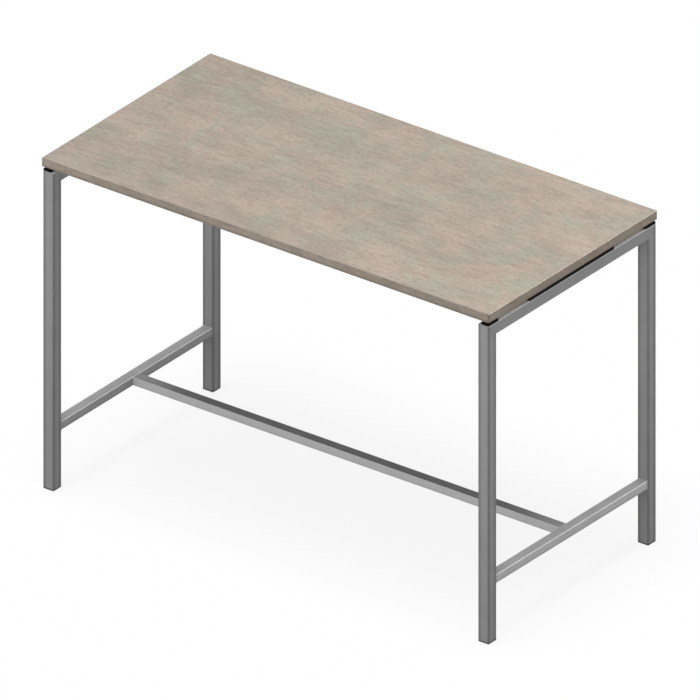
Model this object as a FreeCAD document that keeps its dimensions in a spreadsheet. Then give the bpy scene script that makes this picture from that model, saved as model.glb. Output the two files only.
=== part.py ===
# Standing meeting table: board top on a square-tube frame, as a parametric FreeCAD document.
# Millimetres, +Z up, +X along the long side, origin on the floor under the centre of the top.
# "Left" is -X, "front" is -Y. Run it in an empty folder; the solids go to parts/NAME.step.
import FreeCAD, Part

import math
import os

import Sketcher
from FreeCAD import Rotation, Vector

# Driving dimensions. Each one is written once; everything else is an expression on them.
SIZES = {
    # board top
    "TopLength": (1600, "whole top along X, over the edge bands"),
    "TopWidth": (800, "whole top along Y, over the edge bands"),
    "TopThick": (28, "board and edge bands"),
    "OverallHeight": (1070, "floor to top surface, feet screwed in"),
    "BandThick": (2, "edge band"),
    "BandRound": (1, "rounding of the upper and lower arris"),
    "BandCorner": (1.5, "rounding of the vertical corners"),
    # frame
    "LegSize": (38, "square tube of legs and top rails"),
    "LegWall": (2, "its wall"),
    "LegRound": (3, "its outer corner radius"),
    "LegSetback": (2, "edge of the top to the legs' outer faces"),
    "RailWidth": (32, "width of the lower rails and the stretcher"),
    "RailHeight": (28, "height of the lower rails and the stretcher"),
    "RailWall": (1.5, "wall of the lower rails, stretcher and beams"),
    "RailRound": (3, "outer corner radius of those tubes"),
    "LowerRailTop": (210, "floor to the top of the lower rails"),
    "BeamWidth": (25, "beam under the top, along Y"),
    "BeamHeight": (30, "beam under the top, along Z"),
    "BeamOffset": (200, "centre line of the table to each beam"),
    "MitreOver": (1, "how far the mitre cut runs past the tube"),
    # spacers and pads under the top
    "SpacerThick": (13, "gap between frame and top"),
    "SpacerWide": (28, "spacers along X"),
    "SpacerInset": (0.5, "tube face to spacer face"),
    "SpacerRound": (2, "vertical corners of the spacers"),
    "CornerSpacerLong": (48, "corner spacer along Y"),
    "CornerSpacerFoot": (6, "height of the corner spacer's foot on the tube"),
    "CornerSpacerStep": (8, "foot's outer faces to the block that reaches the top"),
    "StripLong": (400, "spacer strip along Y"),
    "PadLong": (40, "pads on the beams, along the beam"),
    # screws
    "StripScrewPitch": (300, "between the two top screws of an end rail"),
    "BeamScrewPitch": (1000, "between the two top screws of a beam"),
    "ScrewDiameter": (6, "every screw"),
    "ScrewHoleGap": (0.3, "around a screw in a clearance hole"),
    "ThreadGap": (0.05, "around a screw in its thread"),
    "HeadWide": (10, "hexagon head across flats"),
    "HeadTall": (4, "hexagon head"),
    "TopScrewLong": (28, "board fixing screw below its head"),
    "LockScrewLong": (10, "screw that locks a beam or the stretcher, below its head"),
    "PilotDeep": (18, "blind hole in the board for a fixing screw"),
    "DriverDiameter": (16, "access holes for the socket spanner"),
    # sockets of the beams and the stretcher
    "SocketGap": (0.2, "between the socket block and the tube"),
    "SocketLong": (34, "socket block along X"),
    "SocketBevel": (1.5, "lead-in of the socket block"),
    "SocketScrewOffset": (18, "face of the end frame to the locking screw"),
    # levelling feet
    "GlideProud": (2, "floor to the foot plug, foot screwed in"),
    "PlugFlange": (4, "foot plug below the leg"),
    "PlugDepth": (28, "foot plug inside the leg"),
    "PlugGap": (0.1, "between plug and leg wall"),
    "PlugWall": (2, "skirt of the plug"),
    "PlugRib": (13, "cross rib that carries the thread"),
    "PlugCellDeep": (10, "corner cells between the ribs"),
    "RecessDiameter": (29, "room for the glide and the spanner hexagon"),
    "RecessDeep": (14, "the same, from the flange"),
    "NutWide": (13, "nut across flats"),
    "NutTall": (6.5, "nut"),
    "NutGap": (0.1, "around the nut in its pocket"),
    "StemHoleGap": (0.3, "around the stem above the nut"),
    "GlideDiameter": (28, "glide disc"),
    "GlideRim": (4, "glide disc height"),
    "GlideBevel": (1, "floor edge of the glide"),
    "GlideBossTall": (9, "top of the glide's boss"),
    "GlideBossFoot": (17, "boss diameter where it leaves the disc"),
    "GlideBossTop": (14, "boss diameter at its top"),
    "StemDiameter": (8, "bore of the nut, thread of the stem"),
    "StemGap": (0.05, "round the stem in its nut"),
    "StemTop": (50, "floor to the end of the stem"),
    "NeckDiameter": (5.6, "stem between its pin and the hexagon"),
    "PinDiameter": (9, "pin head that turns in the glide"),
    "PinTall": (2.5, "that pin head"),
    "PinLow": (3, "floor to the underside of the pin head"),
    "PinGap": (0.1, "round pin head and neck in the glide"),
    "HexWide": (13, "hexagon of the stem across flats"),
    "HexLow": (10, "floor to the underside of the hexagon"),
    "HexTall": (4.7, "hexagon of the stem"),
}

# Derived places, as expressions.
FRAME_TOP = "(sizes.OverallHeight - sizes.TopThick - sizes.SpacerThick)"
BOARD_LOW = "(sizes.OverallHeight - sizes.TopThick)"
LEG_FACE_X = "(sizes.TopLength / 2 - sizes.LegSetback)"
LEG_FACE_Y = "(sizes.TopWidth / 2 - sizes.LegSetback)"
LEG_X = f"({LEG_FACE_X} - sizes.LegSize / 2)"
LEG_Y = f"({LEG_FACE_Y} - sizes.LegSize / 2)"
LEG_LOW = "(sizes.GlideProud + sizes.PlugFlange)"
RAIL_INNER_X = f"({LEG_X} - sizes.LegSize / 2)"
LOWER_RAIL_Z = "(sizes.LowerRailTop - sizes.RailHeight / 2)"
STRETCHER_HALF = f"({LEG_X} - sizes.RailWidth / 2)"
BEAM_Z = f"({FRAME_TOP} - sizes.BeamHeight / 2)"
SPACER_OUT = "(sizes.LegSize / 2 - sizes.SpacerInset)"
SPACER_IN = f"({SPACER_OUT} - sizes.SpacerWide)"
SCREW_HOLE = "(sizes.ScrewDiameter + 2 * sizes.ScrewHoleGap)"
THREAD_HOLE = "(sizes.ScrewDiameter + 2 * sizes.ThreadGap)"
PLUG_SKIRT = "(sizes.LegSize - 2 * sizes.LegWall - 2 * sizes.PlugGap)"
PLUG_TALL = "(sizes.PlugFlange + sizes.PlugDepth)"
TOP_RAIL_Z = f"({FRAME_TOP} - sizes.LegSize / 2)"
NUT_LOW = "(sizes.GlideProud + sizes.RecessDeep)"
PIN_TOP = "(sizes.PinLow + sizes.PinTall)"

SIDES = {"left": -1, "right": 1}
ENDS = {"front": -1, "rear": 1}
HALF_TURN = Rotation(Vector(0, 0, 1), 180)
NO_TURN = Rotation()
X_WAY, Y_WAY, Z_WAY = Vector(1, 0, 0), Vector(0, 1, 0), Vector(0, 0, 1)

doc = FreeCAD.newDocument("standing_meeting_table")
nodes = []


# ---------------------------------------------------------------- sheet and small helpers
def make_sheet():
    """Write the driving dimensions to a spreadsheet, one alias each."""
    sheet = doc.addObject("Spreadsheet::Sheet", "sizes")
    for row, (alias, (value, note)) in enumerate(SIZES.items(), start=1):
        sheet.set(f"A{row}", alias)
        sheet.set(f"B{row}", str(value))
        sheet.set(f"C{row}", note)
        sheet.setAlias(f"B{row}", alias)
    doc.recompute()
    return sheet


def number(expression):
    """Value of an expression on the sheet, for the first drawing of a sketch."""
    result = sheet.evalExpression(expression)
    return float(getattr(result, "Value", result))


def signed(sign, expression):
    """Expression, or its negative."""
    return expression if sign > 0 else f"-({expression})"


def place(thing, x_at="0", y_at="0", z_at="0", turn=NO_TURN):
    """Tie an object's position to the sheet."""
    thing.Placement = FreeCAD.Placement(Vector(), turn)
    for axis, expression in (("x", x_at), ("y", y_at), ("z", z_at)):
        thing.setExpression(f"Placement.Base.{axis}", expression)


def node(thing, label):
    """Give an object its label and put it on the list of sub-parts."""
    thing.Label = label
    nodes.append(thing)
    return thing


def new_body(name):
    return doc.addObject("PartDesign::Body", name)


def origin_part(body, role):
    return next(part for part in body.Origin.OriginFeatures if part.Role == role)


def sketch_on(body, role, name, offset=None):
    """Sketch on one of the body's own origin planes, lifted along its normal if asked."""
    sketch = body.newObject("Sketcher::SketchObject", f"{body.Name}_{name}_sketch")
    sketch.AttachmentSupport = (origin_part(body, role), [""])
    sketch.MapMode = "FlatFace"
    if offset:
        sketch.setExpression("AttachmentOffset.Base.z", offset)
    return sketch


def dimension(sketch, name, expression, kind, *points):
    """Add a named dimension to a sketch and tie it to the sheet."""
    index = sketch.addConstraint(Sketcher.Constraint(kind, *points, number(expression)))
    sketch.renameConstraint(index, name)
    sketch.setExpression(f"Constraints.{name}", expression)


def locate(sketch, geometry, point, x_at, y_at, name):
    """Tie a point of a sketch to its distances from the sketch's origin."""
    for axis, line, kind, expression in (("x", -2, "DistanceX", x_at), ("y", -1, "DistanceY", y_at)):
        value = number(expression)
        if abs(value) < 1e-9:
            sketch.addConstraint(Sketcher.Constraint("PointOnObject", geometry, point, line))
        elif value > 0:
            dimension(sketch, f"{name}_{axis}", expression, kind, -1, 1, geometry, point)
        else:
            dimension(sketch, f"{name}_{axis}", f"-({expression})", kind, geometry, point, -1, 1)


def polygon(sketch, corners, name="corner"):
    """Closed outline through corners, each a pair of expressions."""
    first = sketch.GeometryCount
    points = [Vector(number(x_at), number(y_at), 0) for x_at, y_at in corners]
    count = len(points)
    for index in range(count):
        sketch.addGeometry(Part.LineSegment(points[index], points[(index + 1) % count]))
    for index, (x_at, y_at) in enumerate(corners):
        following = first + (index + 1) % count
        sketch.addConstraint(Sketcher.Constraint("Coincident", first + index, 2, following, 1))
        locate(sketch, first + index, 1, x_at, y_at, f"{name}{index + 1}")


def rectangle(sketch, width, height):
    """Rectangle centred on the sketch's origin."""
    half_width, half_height = f"({width} / 2)", f"({height} / 2)"
    polygon(sketch, [(signed(across, half_width), signed(up, half_height))
                     for across, up in ((-1, -1), (1, -1), (1, 1), (-1, 1))])


def rounded_rectangle(sketch, width, height, radius, name):
    """Rectangle centred on the sketch's origin, with four equal corner arcs."""
    across, tall, corner = number(width), number(height), number(radius)
    reach_x, reach_y = across / 2 - corner, tall / 2 - corner
    first = sketch.GeometryCount
    centres = ((reach_x, reach_y), (-reach_x, reach_y), (-reach_x, -reach_y), (reach_x, -reach_y))
    arcs = []
    for quarter, (x_at, y_at) in enumerate(centres):
        circle = Part.Circle(Vector(x_at, y_at, 0), Vector(0, 0, 1), corner)
        start = quarter * math.pi / 2
        arcs.append(Part.ArcOfCircle(circle, start, start + math.pi / 2))
    for arc in arcs:
        sketch.addGeometry(arc)
    for quarter in range(4):
        end = arcs[quarter].EndPoint
        sketch.addGeometry(Part.LineSegment(end, arcs[(quarter + 1) % 4].StartPoint))
    for quarter in range(4):
        arc, line, following = first + quarter, first + 4 + quarter, first + (quarter + 1) % 4
        sketch.addConstraint(Sketcher.Constraint("Tangent", arc, 2, line, 1))
        sketch.addConstraint(Sketcher.Constraint("Tangent", line, 2, following, 1))
        sketch.addConstraint(Sketcher.Constraint("Vertical" if quarter % 2 else "Horizontal", line))
        if quarter:
            sketch.addConstraint(Sketcher.Constraint("Equal", first, arc))
    sketch.addConstraint(Sketcher.Constraint("Symmetric", first, 3, first + 2, 3, -1, 1))
    dimension(sketch, f"{name}_radius", radius, "Radius", first)
    dimension(sketch, f"{name}_width", width, "DistanceX", first + 5, 1, first + 7, 1)
    dimension(sketch, f"{name}_height", height, "DistanceY", first + 6, 1, first + 4, 1)


def circle(sketch, diameter, x_at="0", y_at="0", name="circle"):
    """Circle at a place given by two expressions."""
    centre = Vector(number(x_at), number(y_at), 0)
    index = sketch.addGeometry(Part.Circle(centre, Vector(0, 0, 1), number(diameter) / 2))
    locate(sketch, index, 3, x_at, y_at, name)
    dimension(sketch, f"{name}_diameter", diameter, "Diameter", index)


def hexagon(sketch, across_flats):
    """Regular hexagon centred on the origin, two of its flats square to the sketch's x axis."""
    reach = f"({across_flats} / sqrt(3))"
    polygon(sketch, [(f"{reach} * cos({turn})", f"{reach} * sin({turn})") for turn in range(30, 390, 60)])


def extrude(body, kind, sketch, name, length=None, symmetric=False, reverse=False):
    """Pad or Pocket of a sketch; a pocket with no length goes through all."""
    feature = body.newObject(f"PartDesign::{kind}", f"{body.Name}_{name}")
    feature.Profile = sketch
    feature.Reversed = reverse
    if symmetric:
        feature.SideType = "Symmetric"
    if length:
        feature.setExpression("Length", length)
    else:
        feature.Type = "ThroughAll"
    sketch.Visibility = False
    doc.recompute()
    return feature


def straight_edges(feature, direction, wanted):
    """Names of a feature's straight edges along a direction whose two ends pass a test."""
    names = []
    for index, edge in enumerate(feature.Shape.Edges, start=1):
        if edge.Curve.TypeId != "Part::GeomLine" or len(edge.Vertexes) != 2:
            continue
        along = edge.Curve.Direction
        if abs(abs(along.dot(direction)) - 1) < 1e-6 and all(wanted(end.Point) for end in edge.Vertexes):
            names.append(f"Edge{index}")
    return names


def soften(body, kind, size, direction, wanted, name):
    """Fillet or Chamfer of the tip's straight edges along a direction that pass a test."""
    base = body.Tip
    feature = body.newObject(f"PartDesign::{kind}", f"{body.Name}_{name}")
    feature.Base = (base, straight_edges(base, direction, wanted))
    feature.setExpression("Radius" if kind == "Fillet" else "Size", size)
    doc.recompute()
    return feature


def copies(label, template, spots):
    """One node of identical separate solids: links to a template, each placed by expressions."""
    links = []
    for index, spot in enumerate(spots, start=1):
        link = doc.addObject("App::Link", f"{label}_{index}")
        link.LinkedObject = template
        place(link, *spot)
        links.append(link)
    group = doc.addObject("Part::Compound", label)
    group.Links = links
    return node(group, label)


def facing(sign, drawn):
    """Half turn for a piece that is drawn facing one way and sits on the other side."""
    return NO_TURN if sign == drawn else HALF_TURN


# ---------------------------------------------------------------- board top
def make_board():
    """Board core with blind holes for the fixing screws, underside at its local zero."""
    body = new_body("tabletop_board")
    outline = sketch_on(body, "XY_Plane", "outline")
    rectangle(outline, "(sizes.TopLength - 2 * sizes.BandThick)", "(sizes.TopWidth - 2 * sizes.BandThick)")
    extrude(body, "Pad", outline, "core", "sizes.TopThick")
    holes = sketch_on(body, "XY_Plane", "pilot_holes")
    on_rails, on_beams = top_screw_spots()
    for index, (x_at, y_at) in enumerate(on_rails + on_beams, start=1):
        circle(holes, THREAD_HOLE, x_at, y_at, f"hole{index}")
    extrude(body, "Pocket", holes, "pilot_holes", "sizes.PilotDeep", reverse=True)
    place(body, z_at=BOARD_LOW)
    return node(body, "tabletop_board")


def make_long_band(label, sign):
    """Edge band between the short bands, outer face towards local -Y."""
    body = new_body(label)
    section = sketch_on(body, "YZ_Plane", "section")
    rectangle(section, "sizes.BandThick", "sizes.TopThick")
    extrude(body, "Pad", section, "strip", "sizes.TopLength - 2 * sizes.BandThick", symmetric=True)
    soften(body, "Fillet", "sizes.BandRound", X_WAY, lambda point: point.y < 0, "arris")
    at_y = signed(sign, "(sizes.TopWidth / 2 - sizes.BandThick / 2)")
    place(body, y_at=at_y, z_at=f"{BOARD_LOW} + sizes.TopThick / 2", turn=facing(sign, -1))
    return node(body, label)


def make_short_band(label, sign):
    """Edge band over the full width, outer face towards local +X."""
    body = new_body(label)
    section = sketch_on(body, "XZ_Plane", "section")
    rectangle(section, "sizes.BandThick", "sizes.TopThick")
    extrude(body, "Pad", section, "strip", "sizes.TopWidth", symmetric=True)
    soften(body, "Fillet", "sizes.BandCorner", Z_WAY, lambda point: point.x > 0, "corner")
    soften(body, "Fillet", "sizes.BandRound", Y_WAY, lambda point: point.x > 0, "arris")
    at_x = signed(sign, "(sizes.TopLength / 2 - sizes.BandThick / 2)")
    place(body, x_at=at_x, z_at=f"{BOARD_LOW} + sizes.TopThick / 2", turn=facing(sign, 1))
    return node(body, label)


def along(pitch):
    """The two places half a pitch either side of the middle."""
    return [signed(way, f"{pitch} / 2") for way in (-1, 1)]


def top_screw_spots():
    """Where the board is screwed down: two screws on each end rail and on each beam."""
    on_rails = [(signed(side, LEG_X), at_y) for side in SIDES.values() for at_y in along("sizes.StripScrewPitch")]
    on_beams = [(at_x, signed(end, "sizes.BeamOffset"))
                for end in ENDS.values() for at_x in along("sizes.BeamScrewPitch")]
    return on_rails, on_beams


# ---------------------------------------------------------------- frame
def tube_section(sketch, width, height, wall, radius):
    """Outline of a tube with rounded outer corners and square inner ones."""
    rounded_rectangle(sketch, width, height, radius, "outer")
    rectangle(sketch, f"({width} - 2 * {wall})", f"({height} - 2 * {wall})")


def tube(body, role, width, height, wall, radius, length):
    """Rectangular tube along the normal of a plane, centred on it."""
    section = sketch_on(body, role, "section")
    tube_section(section, width, height, wall, radius)
    return extrude(body, "Pad", section, "tube", length, symmetric=True)


def make_leg(label, side, end):
    """Square tube leg, standing on its local zero, mitred at the top towards local +Y."""
    body = new_body(label)
    tall = f"({FRAME_TOP} - {LEG_LOW})"
    section = sketch_on(body, "XY_Plane", "section")
    tube_section(section, "sizes.LegSize", "sizes.LegSize", "sizes.LegWall", "sizes.LegRound")
    extrude(body, "Pad", section, "tube", tall)
    mitre = sketch_on(body, "YZ_Plane", "mitre")
    half, over = "sizes.LegSize / 2", "sizes.MitreOver"
    polygon(mitre, [(f"-{half} - {over}", f"{tall} + {over}"),
                    (f"{half} + {over}", f"{tall} + {over}"),
                    (f"{half} + {over}", f"{tall} - sizes.LegSize - {over}")])
    extrude(body, "Pocket", mitre, "mitre", symmetric=True)
    place(body, signed(side, LEG_X), signed(end, LEG_Y), LEG_LOW, turn=facing(end, -1))
    return node(body, label)


def make_top_rail(label, side):
    """End rail on the leg tops, mitred at both ends, with holes for two board screws."""
    body = new_body(label)
    tube(body, "XZ_Plane", "sizes.LegSize", "sizes.LegSize", "sizes.LegWall", "sizes.LegRound",
         f"2 * {LEG_FACE_Y}")
    mitre = sketch_on(body, "YZ_Plane", "mitre")
    half, over = "sizes.LegSize / 2", "sizes.MitreOver"
    for end in ENDS.values():
        polygon(mitre, [(signed(end, f"({LEG_FACE_Y} + {over})"), f"{half} + {over}"),
                        (signed(end, f"({LEG_FACE_Y} + {over})"), f"-{half} - {over}"),
                        (signed(end, f"({LEG_FACE_Y} - sizes.LegSize - {over})"), f"-{half} - {over}")],
                name=f"mitre{end + 2}_")
    extrude(body, "Pocket", mitre, "mitre", symmetric=True)
    board_screw_holes(body, [("0", at_y) for at_y in along("sizes.StripScrewPitch")])
    place(body, signed(side, LEG_X), "0", TOP_RAIL_Z)
    return node(body, label)


def wall_holes(body, name, diameter, spots, upward):
    """Round holes through a tube's upper or lower wall."""
    sketch = sketch_on(body, "XY_Plane", name)
    for index, (x_at, y_at) in enumerate(spots, start=1):
        circle(sketch, diameter, x_at, y_at, f"hole{index}")
    extrude(body, "Pocket", sketch, name, reverse=upward)


def board_screw_holes(body, spots):
    """Clearance holes in a tube's upper wall and spanner holes below them in its lower wall."""
    wall_holes(body, "screw_holes", SCREW_HOLE, spots, upward=True)
    wall_holes(body, "spanner_holes", "sizes.DriverDiameter", spots, upward=False)


def lock_screw_places(half):
    """Along a long tube, the holes for the screws that lock it to its two sockets."""
    return [signed(side, f"({half} - sizes.SocketScrewOffset)") for side in SIDES.values()]


def make_lower_rail(label, side):
    """Low cross rail between the two legs of one end frame."""
    body = new_body(label)
    tube(body, "XZ_Plane", "sizes.RailWidth", "sizes.RailHeight", "sizes.RailWall", "sizes.RailRound",
         f"2 * ({LEG_Y} - sizes.LegSize / 2)")
    place(body, signed(side, LEG_X), "0", LOWER_RAIL_Z)
    return node(body, label)


def make_stretcher():
    """Long low stretcher between the lower rails, with a screw hole below each end."""
    body = new_body("stretcher")
    tube(body, "YZ_Plane", "sizes.RailWidth", "sizes.RailHeight", "sizes.RailWall", "sizes.RailRound",
         f"2 * {STRETCHER_HALF}")
    locks = [(at_x, "0") for at_x in lock_screw_places(STRETCHER_HALF)]
    wall_holes(body, "lock_holes", SCREW_HOLE, locks, upward=False)
    place(body, z_at=LOWER_RAIL_Z)
    return node(body, "stretcher")


def make_beam(label, end):
    """Beam along X under the top, flush with the tops of the end rails."""
    body = new_body(label)
    tube(body, "YZ_Plane", "sizes.BeamWidth", "sizes.BeamHeight", "sizes.RailWall", "sizes.RailRound",
         f"2 * {RAIL_INNER_X}")
    board_screw_holes(body, [(at_x, "0") for at_x in along("sizes.BeamScrewPitch")])
    locks = [(at_x, "0") for at_x in lock_screw_places(RAIL_INNER_X)]
    wall_holes(body, "lock_holes", SCREW_HOLE, locks, upward=False)
    place(body, "0", signed(end, "sizes.BeamOffset"), BEAM_Z)
    return node(body, label)


def make_socket(label, side, width, height, x_at, y_at, z_at):
    """Steel block welded to an end frame that carries a long tube, nose towards local +X."""
    body = new_body(label)
    section = sketch_on(body, "YZ_Plane", "section")
    rectangle(section, *(f"({across} - 2 * sizes.RailWall - 2 * sizes.SocketGap)" for across in (width, height)))
    extrude(body, "Pad", section, "block", "sizes.SocketLong")
    nose = number("sizes.SocketLong") / 2
    soften(body, "Chamfer", "sizes.SocketBevel", Y_WAY, lambda point: point.x > nose, "lead_in")
    thread = sketch_on(body, "XY_Plane", "thread")
    circle(thread, THREAD_HOLE, "sizes.SocketScrewOffset", "0", "thread")
    extrude(body, "Pocket", thread, "thread")
    place(body, signed(side, x_at), y_at, z_at, turn=facing(side, -1))
    return node(body, label)


def make_stretcher_socket(label, side):
    return make_socket(label, side, "sizes.RailWidth", "sizes.RailHeight", STRETCHER_HALF, "0", LOWER_RAIL_Z)


def make_beam_socket(label, side, end):
    return make_socket(label, side, "sizes.BeamWidth", "sizes.BeamHeight", RAIL_INNER_X,
                       signed(end, "sizes.BeamOffset"), BEAM_Z)


# ---------------------------------------------------------------- spacers under the top
def make_corner_spacer(label, side, end):
    """Spacer bonded to a leg's mitred top: a wide foot and a block set in from its outer faces."""
    body = new_body(label)
    inner_y = f"({SPACER_OUT} - sizes.CornerSpacerLong)"
    step_out = f"({SPACER_OUT} - sizes.CornerSpacerStep)"
    for name, outer, tall in (("foot", SPACER_OUT, "sizes.CornerSpacerFoot"),
                              ("block", step_out, "sizes.SpacerThick")):
        outline = sketch_on(body, "XY_Plane", name)
        polygon(outline, [(signed(side, x_at), signed(end, y_at))
                          for x_at, y_at in ((SPACER_IN, inner_y), (outer, inner_y),
                                             (outer, outer), (SPACER_IN, outer))])
        extrude(body, "Pad", outline, f"{name}_pad", tall)
    soften(body, "Fillet", "sizes.SpacerRound", Z_WAY, lambda point: True, "corners")
    place(body, signed(side, LEG_X), signed(end, LEG_Y), FRAME_TOP)
    return node(body, label)


def make_spacer_strip(label, side):
    """Long spacer in the middle of an end rail, drawn with its outer edge towards +X."""
    body = new_body(label)
    outline = sketch_on(body, "XY_Plane", "outline")
    half = "sizes.StripLong / 2"
    polygon(outline, [(SPACER_IN, f"-{half}"), (SPACER_OUT, f"-{half}"), (SPACER_OUT, half), (SPACER_IN, half)])
    extrude(body, "Pad", outline, "strip", "sizes.SpacerThick")
    soften(body, "Fillet", "sizes.SpacerRound", Z_WAY, lambda point: True, "corners")
    holes = sketch_on(body, "XY_Plane", "holes")
    for index, at_y in enumerate(along("sizes.StripScrewPitch"), start=1):
        circle(holes, SCREW_HOLE, "0", at_y, f"hole{index}")
    extrude(body, "Pocket", holes, "holes", reverse=True)
    place(body, signed(side, LEG_X), "0", FRAME_TOP, turn=facing(side, 1))
    return node(body, label)


# ---------------------------------------------------------------- fixings
def make_screw(name, length):
    """Hexagon-head screw along +Z: underside of the head at its local zero."""
    body = new_body(name)
    head = sketch_on(body, "XY_Plane", "head")
    hexagon(head, "sizes.HeadWide")
    extrude(body, "Pad", head, "head", "sizes.HeadTall", reverse=True)
    shank = sketch_on(body, "XY_Plane", "shank")
    circle(shank, "sizes.ScrewDiameter", name="shank")
    extrude(body, "Pad", shank, "shank", length)
    return body


def make_pad(name):
    """Pad between a beam and the board, pierced for its screw."""
    body = new_body(name)
    outline = sketch_on(body, "XY_Plane", "outline")
    rectangle(outline, "sizes.PadLong", "sizes.BeamWidth")
    circle(outline, SCREW_HOLE, name="hole")
    extrude(body, "Pad", outline, "pad", "sizes.SpacerThick")
    return body


def make_top_fixings():
    """Screws and pads that hold the board on the frame."""
    on_rails, on_beams = top_screw_spots()
    seats = [(x_at, y_at, f"{FRAME_TOP} - sizes.LegWall") for x_at, y_at in on_rails]
    seats += [(x_at, y_at, f"{FRAME_TOP} - sizes.RailWall") for x_at, y_at in on_beams]
    copies("top_screws", make_screw("top_screw_model", "sizes.TopScrewLong"), seats)
    copies("beam_pads", make_pad("beam_pad_model"), [(x_at, y_at, FRAME_TOP) for x_at, y_at in on_beams])


def make_lock_screws():
    """Screws that come up through the stretcher and the beams into their sockets."""
    stretcher_low = f"({LOWER_RAIL_Z} - sizes.RailHeight / 2)"
    beam_low = f"({FRAME_TOP} - sizes.BeamHeight)"
    spots = [(at_x, "0", stretcher_low) for at_x in lock_screw_places(STRETCHER_HALF)]
    for end in ENDS.values():
        at_y = signed(end, "sizes.BeamOffset")
        spots += [(at_x, at_y, beam_low) for at_x in lock_screw_places(RAIL_INNER_X)]
    copies("lock_screws", make_screw("lock_screw_model", "sizes.LockScrewLong"), spots)


# ---------------------------------------------------------------- levelling feet
def make_foot_plug(label, side, end):
    """Moulded plug in a leg's end: flange, skirt, corner cells, nut pocket and foot recess."""
    body = new_body(label)
    flange = sketch_on(body, "XY_Plane", "flange")
    rounded_rectangle(flange, "sizes.LegSize", "sizes.LegSize", "sizes.LegRound", "flange")
    extrude(body, "Pad", flange, "flange", "sizes.PlugFlange")
    skirt = sketch_on(body, "XY_Plane", "skirt")
    rectangle(skirt, PLUG_SKIRT, PLUG_SKIRT)
    extrude(body, "Pad", skirt, "skirt", PLUG_TALL)
    cell = sketch_on(body, "XY_Plane", "cell", offset=PLUG_TALL)
    near, far = "sizes.PlugRib / 2", f"{PLUG_SKIRT} / 2 - sizes.PlugWall"
    polygon(cell, [(near, near), (far, near), (far, far), (near, far)])
    pocket = extrude(body, "Pocket", cell, "cell", "sizes.PlugCellDeep")
    pattern = body.newObject("PartDesign::PolarPattern", f"{label}_cells")
    pattern.Originals = [pocket]
    pattern.Axis = (origin_part(body, "Z_Axis"), [""])
    pattern.Angle = 360
    pattern.Occurrences = 4
    body.Tip = pattern
    doc.recompute()
    recess = sketch_on(body, "XY_Plane", "recess")
    circle(recess, "sizes.RecessDiameter", name="recess")
    extrude(body, "Pocket", recess, "recess", "sizes.RecessDeep", reverse=True)
    nut = sketch_on(body, "XY_Plane", "nut_pocket")
    hexagon(nut, "(sizes.NutWide + 2 * sizes.NutGap)")
    extrude(body, "Pocket", nut, "nut_pocket", "sizes.RecessDeep + sizes.NutTall", reverse=True)
    hole = sketch_on(body, "XY_Plane", "stem_hole")
    circle(hole, "sizes.StemDiameter + 2 * sizes.StemHoleGap", name="stem_hole")
    extrude(body, "Pocket", hole, "stem_hole", reverse=True)
    place(body, signed(side, LEG_X), signed(end, LEG_Y), "sizes.GlideProud")
    return node(body, label)


def make_foot_nut(label, side, end):
    """Hexagon nut in the plug's pocket, carried by the shoulder above it."""
    body = new_body(label)
    outline = sketch_on(body, "XY_Plane", "outline")
    hexagon(outline, "sizes.NutWide")
    circle(outline, "sizes.StemDiameter", name="bore")
    extrude(body, "Pad", outline, "nut", "sizes.NutTall")
    place(body, signed(side, LEG_X), signed(end, LEG_Y), NUT_LOW)
    return node(body, label)


def make_glide(label, side, end):
    """Glide turned about Z: disc, conical boss and the undercut seat of the stem's pin head."""
    body = new_body(label)
    profile = sketch_on(body, "XZ_Plane", "profile")
    rim, bevel = "sizes.GlideDiameter / 2", "sizes.GlideBevel"
    neck = "(sizes.NeckDiameter / 2 + sizes.PinGap)"
    seat = "(sizes.PinDiameter / 2 + sizes.PinGap)"
    polygon(profile, [("0", "0"), (f"{rim} - {bevel}", "0"), (rim, bevel), (rim, "sizes.GlideRim"),
                      ("sizes.GlideBossFoot / 2", "sizes.GlideRim"),
                      ("sizes.GlideBossTop / 2", "sizes.GlideBossTall"), (neck, "sizes.GlideBossTall"),
                      (neck, f"{PIN_TOP} + sizes.PinGap"), (seat, f"{PIN_TOP} + sizes.PinGap"),
                      (seat, "sizes.PinLow"), ("0", "sizes.PinLow")])
    turned = body.newObject("PartDesign::Revolution", f"{label}_turned")
    turned.Profile = profile
    turned.ReferenceAxis = (profile, ["V_Axis"])
    turned.Angle = 360
    doc.recompute()
    place(body, signed(side, LEG_X), signed(end, LEG_Y))
    return node(body, label)


def make_stem(label, side, end):
    """Levelling stem: pin head in the glide, neck, hexagon for a spanner, thread up into the nut."""
    body = new_body(label)
    pin = sketch_on(body, "XY_Plane", "pin", offset="sizes.PinLow")
    circle(pin, "sizes.PinDiameter", name="pin")
    extrude(body, "Pad", pin, "pin", "sizes.PinTall")
    neck = sketch_on(body, "XY_Plane", "neck", offset=PIN_TOP)
    circle(neck, "sizes.NeckDiameter", name="neck")
    extrude(body, "Pad", neck, "neck", f"sizes.HexLow - {PIN_TOP}")
    flats = sketch_on(body, "XY_Plane", "flats", offset="sizes.HexLow")
    hexagon(flats, "sizes.HexWide")
    extrude(body, "Pad", flats, "hexagon", "sizes.HexTall")
    thread = sketch_on(body, "XY_Plane", "thread", offset="sizes.HexLow + sizes.HexTall")
    circle(thread, "sizes.StemDiameter - 2 * sizes.StemGap", name="thread")
    extrude(body, "Pad", thread, "thread", "sizes.StemTop - sizes.HexLow - sizes.HexTall")
    place(body, signed(side, LEG_X), signed(end, LEG_Y))
    return node(body, label)


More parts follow.
